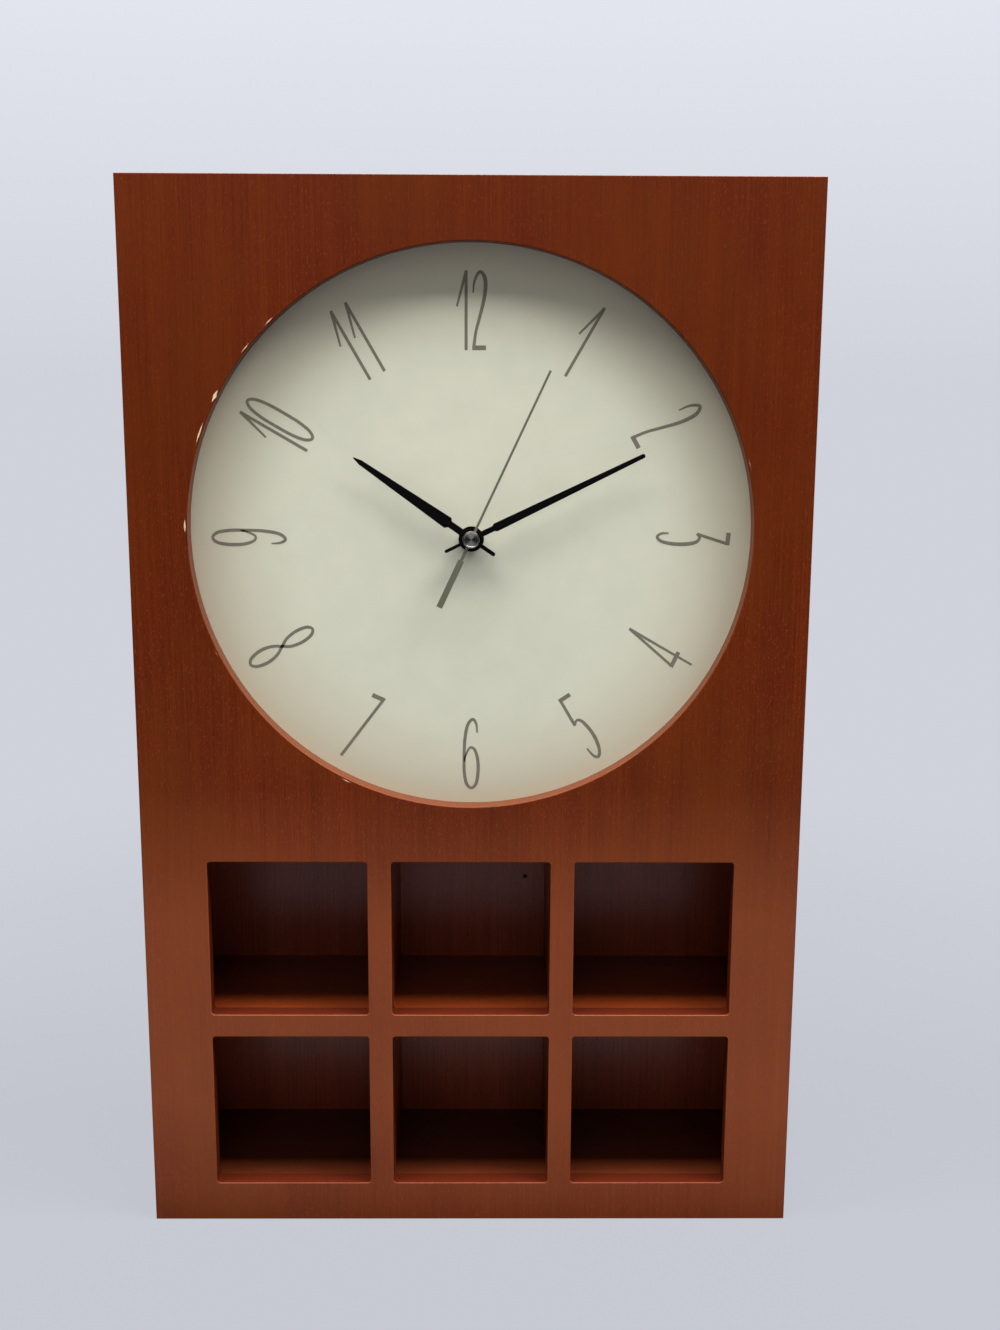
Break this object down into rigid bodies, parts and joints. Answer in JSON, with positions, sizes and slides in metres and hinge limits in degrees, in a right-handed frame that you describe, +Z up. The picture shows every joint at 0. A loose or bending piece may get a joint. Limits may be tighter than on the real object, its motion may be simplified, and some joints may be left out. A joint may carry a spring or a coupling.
{
  "type": "shelf wall clock",
  "caption": "Wall clock in a rectangular stained wood case, with a recessed round dial above open cubbies and a battery quartz movement",
  "frame": {"origin": "centre of the case's outline on the surface it stands on", "axes": "+X to the right seen from the front, +Y from the front face to the back, +Z up"},
  "size_m": [0.33, 0.086, 0.527],
  "materials": {
    "front_veneer": "satin red-brown stained wood veneer",
    "case_veneer": "satin red-brown stained wood veneer",
    "stained_board": "red-brown stained board",
    "hardboard": "brown hardboard",
    "dial_card": "matt off-white printed card",
    "batten": "sawn pine",
    "black_plastic": "moulded black plastic",
    "nylon": "white moulded nylon",
    "black_hands": "black paint on pressed aluminium",
    "silver_hand": "silver-grey paint on pressed aluminium",
    "spun_steel": "spun with fine rings",
    "zinc_steel": "zinc plated",
    "brass": "plain turned and stamped brass",
    "rubber": "black rubber",
    "magnet_wire": "enamelled copper wire",
    "iron": "grey laminated iron",
    "magnet": "dark sintered magnet",
    "circuit": "green laminate with a black sealed chip",
    "cell": "plain dark sleeve"
  },
  "bodies": {
    "case": {"front_panel": "front_veneer", "side_left": "case_veneer", "side_right": "case_veneer", "top_panel": "case_veneer", "bottom_panel": "stained_board", "upper_shelf": "stained_board", "middle_shelf": "stained_board", "divider_lower_left": "stained_board", "divider_lower_right": "stained_board", "divider_upper_left": "stained_board", "divider_upper_right": "stained_board", "back_panel": "stained_board", "dial_board": "hardboard", "dial_card": "dial_card", "hanging_rail": "batten", "movement_case": "black_plastic", "movement_cover": "black_plastic", "train_bridge": "nylon", "hanger_plate": "zinc_steel", "hanger_screw_left": "zinc_steel", "hanger_screw_right": "zinc_steel", "quartz_crystal": "zinc_steel", "back_screw_1": "zinc_steel", "back_screw_2": "zinc_steel", "back_screw_3": "zinc_steel", "back_screw_4": "zinc_steel", "back_screw_5": "zinc_steel", "back_screw_6": "zinc_steel", "back_screw_7": "zinc_steel", "back_screw_8": "zinc_steel", "dial_screw_1": "zinc_steel", "dial_screw_2": "zinc_steel", "dial_screw_3": "zinc_steel", "dial_screw_4": "zinc_steel", "threaded_bushing": "brass", "fixing_nut": "brass", "dial_washer": "brass", "contact_positive": "brass", "contact_negative": "brass", "rubber_gasket": "rubber", "coil": "magnet_wire", "coil_core": "iron", "stator": "iron", "circuit_board": "circuit"},
    "minute": {"minute_arbor": "nylon", "minute_hand": "black_hands"},
    "hour": {"hour_wheel": "nylon", "hour_hand": "black_hands"},
    "motion": {"motion_wheel": "nylon", "set_knob": "black_plastic"},
    "second": {"second_wheel": "nylon", "second_hand": "silver_hand", "second_cap": "spun_steel"},
    "centre": {"centre_wheel": "nylon"},
    "third": {"third_wheel": "nylon"},
    "intermediate": {"intermediate_wheel": "nylon"},
    "rotor": {"rotor_pinion": "nylon", "rotor_magnet": "magnet"},
    "battery": {"battery": "cell"}
  },
  "joints": [
    {"name": "minute_turn", "type": "hinge", "parent": "case", "child": "minute", "pos_m": [0, 0, 0.358], "axis": [0, 1, 0], "continuous": true},
    {"name": "hour_turn", "type": "hinge", "parent": "case", "child": "hour", "pos_m": [0, 0, 0.358], "axis": [0, 1, 0], "continuous": true},
    {"name": "motion_turn", "type": "hinge", "parent": "case", "child": "motion", "pos_m": [0.01118, 0, 0.35741], "axis": [0, 1, 0], "continuous": true},
    {"name": "second_turn", "type": "hinge", "parent": "case", "child": "second", "pos_m": [0, 0, 0.358], "axis": [0, 1, 0], "continuous": true},
    {"name": "centre_wheel_turn", "type": "hinge", "parent": "case", "child": "centre", "pos_m": [0, 0, 0.358], "axis": [0, 1, 0], "continuous": true},
    {"name": "third_turn", "type": "hinge", "parent": "case", "child": "third", "pos_m": [0.0054, 0, 0.36735], "axis": [0, 1, 0], "continuous": true},
    {"name": "intermediate_turn", "type": "hinge", "parent": "case", "child": "intermediate", "pos_m": [-0.00964, 0, 0.36357], "axis": [0, 1, 0], "continuous": true},
    {"name": "rotor_turn", "type": "hinge", "parent": "case", "child": "rotor", "pos_m": [-0.01222, 0, 0.37067], "axis": [0, 1, 0], "continuous": true},
    {"name": "battery_slide", "type": "slide", "parent": "case", "child": "battery", "axis": [0, 1, 0], "range_m": [0, 0.018]}
  ],
  "couplings": [
    {"joint": "hour_turn", "follows": "minute_turn", "ratio": 0.083333},
    {"joint": "motion_turn", "follows": "minute_turn", "ratio": -0.33333},
    {"joint": "centre_wheel_turn", "follows": "second_turn", "ratio": 0.016667},
    {"joint": "third_turn", "follows": "second_turn", "ratio": -0.13333},
    {"joint": "intermediate_turn", "follows": "second_turn", "ratio": -6},
    {"joint": "rotor_turn", "follows": "second_turn", "ratio": 30}
  ]
}
